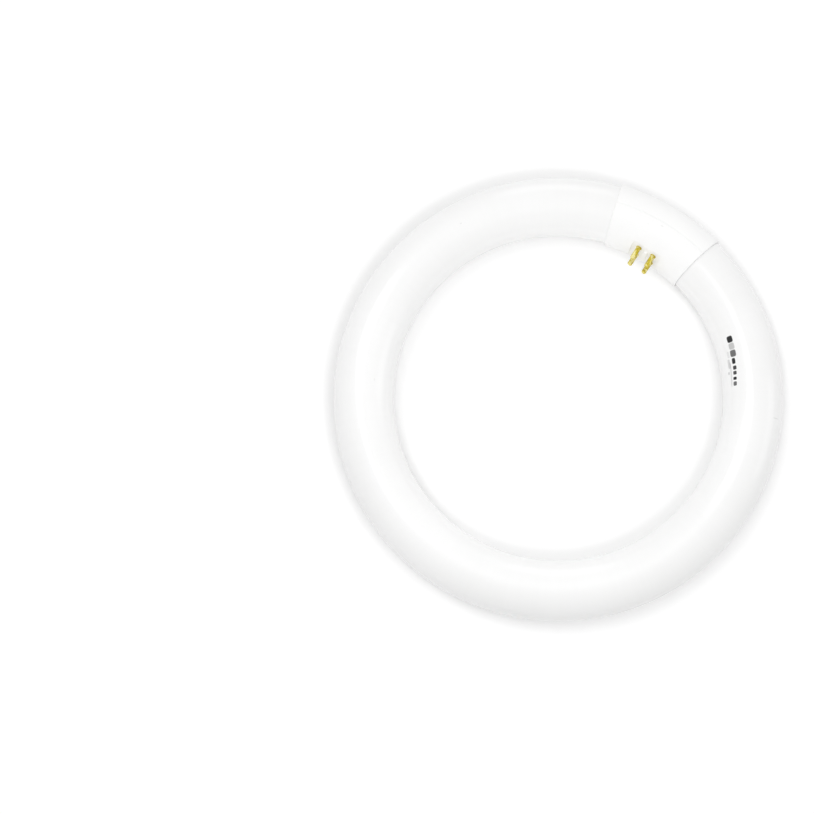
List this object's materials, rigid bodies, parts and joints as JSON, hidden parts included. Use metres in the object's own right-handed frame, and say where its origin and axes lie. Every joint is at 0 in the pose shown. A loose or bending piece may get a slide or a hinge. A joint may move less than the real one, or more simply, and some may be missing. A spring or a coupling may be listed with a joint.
{
  "type": "circular fluorescent tube",
  "caption": "Ring-shaped fluorescent tube of frosted white glass with a white moulded base and brass contact pins that lean in towards the middle.",
  "frame": {"origin": "centre of the ring, in the plane of the tube's centreline", "axes": "+Z out of the ring's front, the side that the pins lean to; +Y from the centre towards the middle of the base; the lamp lies on its back on a surface below -Z"},
  "size_m": [0.216, 0.217, 0.0308],
  "materials": {
    "coated_glass": "milky white fluorescent coating behind smooth glass",
    "base_plastic": "white moulded plastic, satin",
    "pin_brass": "turned brass, bright",
    "wire_metal": "plain tinned lead wire"
  },
  "bodies": {
    "root": {"glass_tube": "coated_glass", "base_pin_shell": "base_plastic", "base_cover": "base_plastic", "contact_pin_1": "pin_brass", "contact_pin_2": "pin_brass", "contact_pin_3": "pin_brass", "contact_pin_4": "pin_brass", "lead_wire_1": "wire_metal", "lead_wire_2": "wire_metal", "lead_wire_3": "wire_metal", "lead_wire_4": "wire_metal"}
  },
  "joints": []
}
